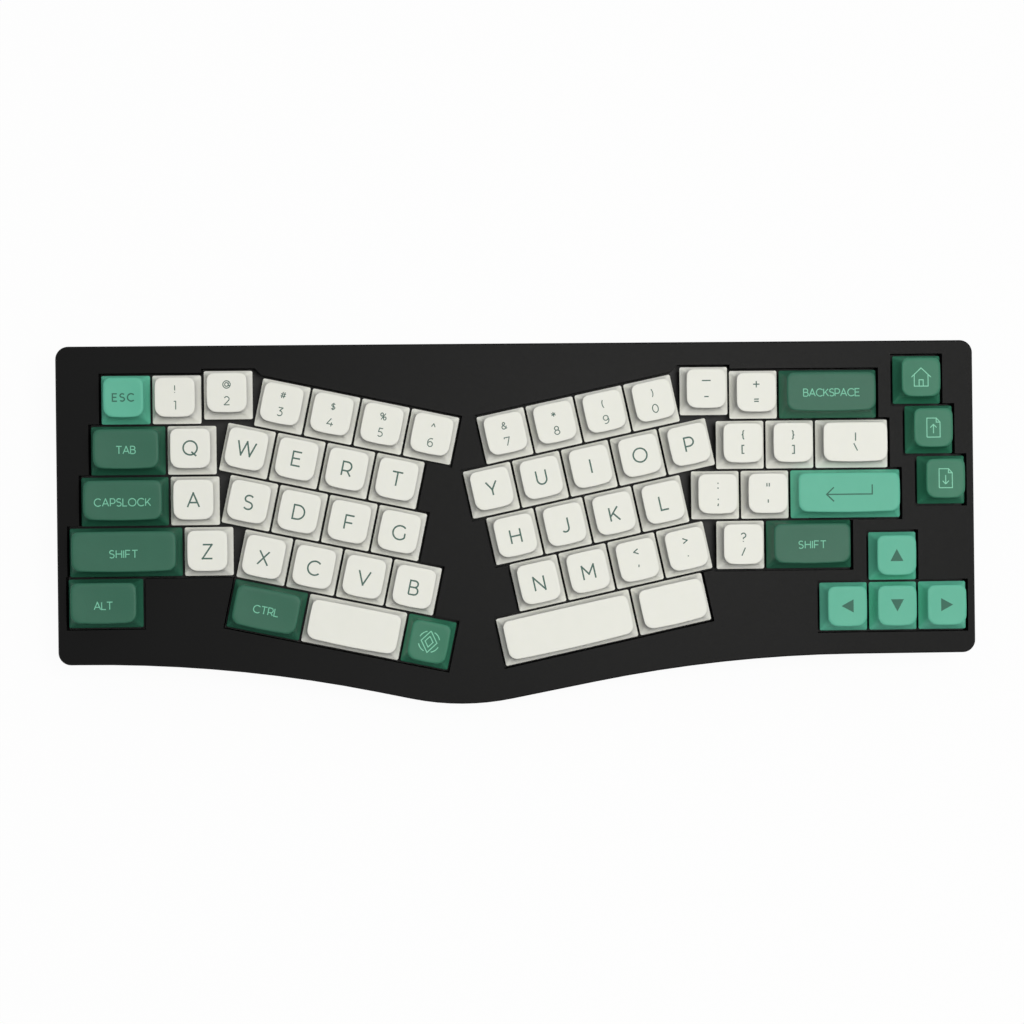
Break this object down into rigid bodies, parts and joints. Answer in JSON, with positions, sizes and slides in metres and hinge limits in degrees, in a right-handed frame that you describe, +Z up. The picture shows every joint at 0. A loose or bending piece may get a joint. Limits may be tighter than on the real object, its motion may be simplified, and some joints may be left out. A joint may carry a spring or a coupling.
{
  "type": "ergonomic keyboard",
  "caption": "One-piece ergonomic keyboard with two letter blocks turned towards each other, straight outer columns, white and green keycaps and a sloped black case.",
  "frame": {"origin": "middle of the footprint, on the surface that the feet stand on", "axes": "+X to the typist's right along the case, +Y to the back, +Z up"},
  "size_m": [0.348, 0.1387, 0.0414],
  "materials": {
    "bezel_aluminium": "bead blasted and black anodised aluminium",
    "tray_aluminium": "bead blasted and black anodised aluminium",
    "black_steel": "black oxide steel",
    "foot_rubber": "matt moulded rubber",
    "plate_steel": "powder coated steel sheet",
    "board_laminate": "glass epoxy laminate with black solder mask",
    "chip_resin": "moulded resin",
    "port_steel": "plated steel shell",
    "housing_nylon": "moulded black nylon",
    "wire_steel": "drawn steel wire",
    "keycap_white": "moulded PBT with a fine grain, warm white",
    "keycap_dark_green": "moulded PBT with a fine grain, dark green",
    "keycap_mint": "moulded PBT with a fine grain, mint"
  },
  "bodies": {
    "case": {"case_bottom": "tray_aluminium", "case_screws": "black_steel", "case_top": "bezel_aluminium", "circuit_board": "board_laminate", "controller_chip": "chip_resin", "port_socket": "port_steel", "rubber_feet": "foot_rubber", "stabiliser_housings": "housing_nylon", "stabiliser_wires": "wire_steel", "switch_housings": "housing_nylon", "switch_plate": "plate_steel"},
    "key_a": {"key_a": "keycap_white"},
    "key_alternate": {"key_alternate": "keycap_dark_green"},
    "key_backslash": {"key_backslash": "keycap_white"},
    "key_backspace": {"key_backspace": "keycap_dark_green"},
    "key_capitals": {"key_capitals": "keycap_dark_green"},
    "key_control": {"key_control": "keycap_dark_green"},
    "key_down": {"key_down": "keycap_mint"},
    "key_enter": {"key_enter": "keycap_mint"},
    "key_escape": {"key_escape": "keycap_mint"},
    "key_h": {"key_h": "keycap_white"},
    "key_j": {"key_j": "keycap_white"},
    "key_left": {"key_left": "keycap_mint"},
    "key_left_shift": {"key_left_shift": "keycap_dark_green"},
    "key_left_space": {"key_left_space": "keycap_white"},
    "key_left_thumb": {"key_left_thumb": "keycap_dark_green"},
    "key_m": {"key_m": "keycap_white"},
    "key_n": {"key_n": "keycap_white"},
    "key_one": {"key_one": "keycap_white"},
    "key_p": {"key_p": "keycap_white"},
    "key_q": {"key_q": "keycap_white"},
    "key_right": {"key_right": "keycap_mint"},
    "key_right_shift": {"key_right_shift": "keycap_dark_green"},
    "key_right_space": {"key_right_space": "keycap_white"},
    "key_right_thumb": {"key_right_thumb": "keycap_white"},
    "key_side_lower": {"key_side_lower": "keycap_dark_green"},
    "key_side_middle": {"key_side_middle": "keycap_dark_green"},
    "key_side_upper": {"key_side_upper": "keycap_dark_green"},
    "key_slash": {"key_slash": "keycap_white"},
    "key_tab": {"key_tab": "keycap_dark_green"},
    "key_two": {"key_two": "keycap_white"},
    "key_up": {"key_up": "keycap_mint"},
    "key_z": {"key_z": "keycap_white"},
    "keys_comma_period": {"keys_comma_period": "keycap_white"},
    "keys_f_g": {"keys_f_g": "keycap_white"},
    "keys_five_six": {"keys_five_six": "keycap_white"},
    "keys_i_o": {"keys_i_o": "keycap_white"},
    "keys_k_l": {"keys_k_l": "keycap_white"},
    "keys_left_bracket_right_bracket": {"keys_left_bracket_right_bracket": "keycap_white"},
    "keys_minus_equal": {"keys_minus_equal": "keycap_white"},
    "keys_nine_zero": {"keys_nine_zero": "keycap_white"},
    "keys_r_t": {"keys_r_t": "keycap_white"},
    "keys_s_d": {"keys_s_d": "keycap_white"},
    "keys_semicolon_quote": {"keys_semicolon_quote": "keycap_white"},
    "keys_seven_eight": {"keys_seven_eight": "keycap_white"},
    "keys_three_four": {"keys_three_four": "keycap_white"},
    "keys_v_b": {"keys_v_b": "keycap_white"},
    "keys_w_e": {"keys_w_e": "keycap_white"},
    "keys_x_c": {"keys_x_c": "keycap_white"},
    "keys_y_u": {"keys_y_u": "keycap_white"}
  },
  "joints": [
    {"name": "key_a_press", "type": "slide", "parent": "case", "child": "key_a", "axis": [0, 0.1045, -0.9945], "range_m": [0, 0.0038], "stiffness_N_per_m": 62.5, "springref_m": -0.0056},
    {"name": "key_alternate_press", "type": "slide", "parent": "case", "child": "key_alternate", "axis": [0, 0.1045, -0.9945], "range_m": [0, 0.0038], "stiffness_N_per_m": 62.5, "springref_m": -0.0056},
    {"name": "key_backslash_press", "type": "slide", "parent": "case", "child": "key_backslash", "axis": [0, 0.1045, -0.9945], "range_m": [0, 0.0038], "stiffness_N_per_m": 62.5, "springref_m": -0.0056},
    {"name": "key_backspace_press", "type": "slide", "parent": "case", "child": "key_backspace", "axis": [0, 0.1045, -0.9945], "range_m": [0, 0.0038], "stiffness_N_per_m": 62.5, "springref_m": -0.0056},
    {"name": "key_capitals_press", "type": "slide", "parent": "case", "child": "key_capitals", "axis": [0, 0.1045, -0.9945], "range_m": [0, 0.0038], "stiffness_N_per_m": 62.5, "springref_m": -0.0056},
    {"name": "key_control_press", "type": "slide", "parent": "case", "child": "key_control", "axis": [0, 0.1045, -0.9945], "range_m": [0, 0.0038], "stiffness_N_per_m": 62.5, "springref_m": -0.0056},
    {"name": "key_down_press", "type": "slide", "parent": "case", "child": "key_down", "axis": [0, 0.1045, -0.9945], "range_m": [0, 0.0038], "stiffness_N_per_m": 62.5, "springref_m": -0.0056},
    {"name": "key_enter_press", "type": "slide", "parent": "case", "child": "key_enter", "axis": [0, 0.1045, -0.9945], "range_m": [0, 0.0038], "stiffness_N_per_m": 62.5, "springref_m": -0.0056},
    {"name": "key_escape_press", "type": "slide", "parent": "case", "child": "key_escape", "axis": [0, 0.1045, -0.9945], "range_m": [0, 0.0038], "stiffness_N_per_m": 62.5, "springref_m": -0.0056},
    {"name": "key_h_press", "type": "slide", "parent": "case", "child": "key_h", "axis": [0, 0.1045, -0.9945], "range_m": [0, 0.0038], "stiffness_N_per_m": 62.5, "springref_m": -0.0056},
    {"name": "key_j_press", "type": "slide", "parent": "case", "child": "key_j", "axis": [0, 0.1045, -0.9945], "range_m": [0, 0.0038], "stiffness_N_per_m": 62.5, "springref_m": -0.0056},
    {"name": "key_left_press", "type": "slide", "parent": "case", "child": "key_left", "axis": [0, 0.1045, -0.9945], "range_m": [0, 0.0038], "stiffness_N_per_m": 62.5, "springref_m": -0.0056},
    {"name": "key_left_shift_press", "type": "slide", "parent": "case", "child": "key_left_shift", "axis": [0, 0.1045, -0.9945], "range_m": [0, 0.0038], "stiffness_N_per_m": 62.5, "springref_m": -0.0056},
    {"name": "key_left_space_press", "type": "slide", "parent": "case", "child": "key_left_space", "axis": [0, 0.1045, -0.9945], "range_m": [0, 0.0038], "stiffness_N_per_m": 62.5, "springref_m": -0.0056},
    {"name": "key_left_thumb_press", "type": "slide", "parent": "case", "child": "key_left_thumb", "axis": [0, 0.1045, -0.9945], "range_m": [0, 0.0038], "stiffness_N_per_m": 62.5, "springref_m": -0.0056},
    {"name": "key_m_press", "type": "slide", "parent": "case", "child": "key_m", "axis": [0, 0.1045, -0.9945], "range_m": [0, 0.0038], "stiffness_N_per_m": 62.5, "springref_m": -0.0056},
    {"name": "key_n_press", "type": "slide", "parent": "case", "child": "key_n", "axis": [0, 0.1045, -0.9945], "range_m": [0, 0.0038], "stiffness_N_per_m": 62.5, "springref_m": -0.0056},
    {"name": "key_one_press", "type": "slide", "parent": "case", "child": "key_one", "axis": [0, 0.1045, -0.9945], "range_m": [0, 0.0038], "stiffness_N_per_m": 62.5, "springref_m": -0.0056},
    {"name": "key_p_press", "type": "slide", "parent": "case", "child": "key_p", "axis": [0, 0.1045, -0.9945], "range_m": [0, 0.0038], "stiffness_N_per_m": 62.5, "springref_m": -0.0056},
    {"name": "key_q_press", "type": "slide", "parent": "case", "child": "key_q", "axis": [0, 0.1045, -0.9945], "range_m": [0, 0.0038], "stiffness_N_per_m": 62.5, "springref_m": -0.0056},
    {"name": "key_right_press", "type": "slide", "parent": "case", "child": "key_right", "axis": [0, 0.1045, -0.9945], "range_m": [0, 0.0038], "stiffness_N_per_m": 62.5, "springref_m": -0.0056},
    {"name": "key_right_shift_press", "type": "slide", "parent": "case", "child": "key_right_shift", "axis": [0, 0.1045, -0.9945], "range_m": [0, 0.0038], "stiffness_N_per_m": 62.5, "springref_m": -0.0056},
    {"name": "key_right_space_press", "type": "slide", "parent": "case", "child": "key_right_space", "axis": [0, 0.1045, -0.9945], "range_m": [0, 0.0038], "stiffness_N_per_m": 62.5, "springref_m": -0.0056},
    {"name": "key_right_thumb_press", "type": "slide", "parent": "case", "child": "key_right_thumb", "axis": [0, 0.1045, -0.9945], "range_m": [0, 0.0038], "stiffness_N_per_m": 62.5, "springref_m": -0.0056},
    {"name": "key_side_lower_press", "type": "slide", "parent": "case", "child": "key_side_lower", "axis": [0, 0.1045, -0.9945], "range_m": [0, 0.0038], "stiffness_N_per_m": 62.5, "springref_m": -0.0056},
    {"name": "key_side_middle_press", "type": "slide", "parent": "case", "child": "key_side_middle", "axis": [0, 0.1045, -0.9945], "range_m": [0, 0.0038], "stiffness_N_per_m": 62.5, "springref_m": -0.0056},
    {"name": "key_side_upper_press", "type": "slide", "parent": "case", "child": "key_side_upper", "axis": [0, 0.1045, -0.9945], "range_m": [0, 0.0038], "stiffness_N_per_m": 62.5, "springref_m": -0.0056},
    {"name": "key_slash_press", "type": "slide", "parent": "case", "child": "key_slash", "axis": [0, 0.1045, -0.9945], "range_m": [0, 0.0038], "stiffness_N_per_m": 62.5, "springref_m": -0.0056},
    {"name": "key_tab_press", "type": "slide", "parent": "case", "child": "key_tab", "axis": [0, 0.1045, -0.9945], "range_m": [0, 0.0038], "stiffness_N_per_m": 62.5, "springref_m": -0.0056},
    {"name": "key_two_press", "type": "slide", "parent": "case", "child": "key_two", "axis": [0, 0.1045, -0.9945], "range_m": [0, 0.0038], "stiffness_N_per_m": 62.5, "springref_m": -0.0056},
    {"name": "key_up_press", "type": "slide", "parent": "case", "child": "key_up", "axis": [0, 0.1045, -0.9945], "range_m": [0, 0.0038], "stiffness_N_per_m": 62.5, "springref_m": -0.0056},
    {"name": "key_z_press", "type": "slide", "parent": "case", "child": "key_z", "axis": [0, 0.1045, -0.9945], "range_m": [0, 0.0038], "stiffness_N_per_m": 62.5, "springref_m": -0.0056},
    {"name": "keys_comma_period_press", "type": "slide", "parent": "case", "child": "keys_comma_period", "axis": [0, 0.1045, -0.9945], "range_m": [0, 0.0038], "stiffness_N_per_m": 62.5, "springref_m": -0.0056},
    {"name": "keys_f_g_press", "type": "slide", "parent": "case", "child": "keys_f_g", "axis": [0, 0.1045, -0.9945], "range_m": [0, 0.0038], "stiffness_N_per_m": 62.5, "springref_m": -0.0056},
    {"name": "keys_five_six_press", "type": "slide", "parent": "case", "child": "keys_five_six", "axis": [0, 0.1045, -0.9945], "range_m": [0, 0.0038], "stiffness_N_per_m": 62.5, "springref_m": -0.0056},
    {"name": "keys_i_o_press", "type": "slide", "parent": "case", "child": "keys_i_o", "axis": [0, 0.1045, -0.9945], "range_m": [0, 0.0038], "stiffness_N_per_m": 62.5, "springref_m": -0.0056},
    {"name": "keys_k_l_press", "type": "slide", "parent": "case", "child": "keys_k_l", "axis": [0, 0.1045, -0.9945], "range_m": [0, 0.0038], "stiffness_N_per_m": 62.5, "springref_m": -0.0056},
    {"name": "keys_left_bracket_right_bracket_press", "type": "slide", "parent": "case", "child": "keys_left_bracket_right_bracket", "axis": [0, 0.1045, -0.9945], "range_m": [0, 0.0038], "stiffness_N_per_m": 62.5, "springref_m": -0.0056},
    {"name": "keys_minus_equal_press", "type": "slide", "parent": "case", "child": "keys_minus_equal", "axis": [0, 0.1045, -0.9945], "range_m": [0, 0.0038], "stiffness_N_per_m": 62.5, "springref_m": -0.0056},
    {"name": "keys_nine_zero_press", "type": "slide", "parent": "case", "child": "keys_nine_zero", "axis": [0, 0.1045, -0.9945], "range_m": [0, 0.0038], "stiffness_N_per_m": 62.5, "springref_m": -0.0056},
    {"name": "keys_r_t_press", "type": "slide", "parent": "case", "child": "keys_r_t", "axis": [0, 0.1045, -0.9945], "range_m": [0, 0.0038], "stiffness_N_per_m": 62.5, "springref_m": -0.0056},
    {"name": "keys_s_d_press", "type": "slide", "parent": "case", "child": "keys_s_d", "axis": [0, 0.1045, -0.9945], "range_m": [0, 0.0038], "stiffness_N_per_m": 62.5, "springref_m": -0.0056},
    {"name": "keys_semicolon_quote_press", "type": "slide", "parent": "case", "child": "keys_semicolon_quote", "axis": [0, 0.1045, -0.9945], "range_m": [0, 0.0038], "stiffness_N_per_m": 62.5, "springref_m": -0.0056},
    {"name": "keys_seven_eight_press", "type": "slide", "parent": "case", "child": "keys_seven_eight", "axis": [0, 0.1045, -0.9945], "range_m": [0, 0.0038], "stiffness_N_per_m": 62.5, "springref_m": -0.0056},
    {"name": "keys_three_four_press", "type": "slide", "parent": "case", "child": "keys_three_four", "axis": [0, 0.1045, -0.9945], "range_m": [0, 0.0038], "stiffness_N_per_m": 62.5, "springref_m": -0.0056},
    {"name": "keys_v_b_press", "type": "slide", "parent": "case", "child": "keys_v_b", "axis": [0, 0.1045, -0.9945], "range_m": [0, 0.0038], "stiffness_N_per_m": 62.5, "springref_m": -0.0056},
    {"name": "keys_w_e_press", "type": "slide", "parent": "case", "child": "keys_w_e", "axis": [0, 0.1045, -0.9945], "range_m": [0, 0.0038], "stiffness_N_per_m": 62.5, "springref_m": -0.0056},
    {"name": "keys_x_c_press", "type": "slide", "parent": "case", "child": "keys_x_c", "axis": [0, 0.1045, -0.9945], "range_m": [0, 0.0038], "stiffness_N_per_m": 62.5, "springref_m": -0.0056},
    {"name": "keys_y_u_press", "type": "slide", "parent": "case", "child": "keys_y_u", "axis": [0, 0.1045, -0.9945], "range_m": [0, 0.0038], "stiffness_N_per_m": 62.5, "springref_m": -0.0056}
  ]
}
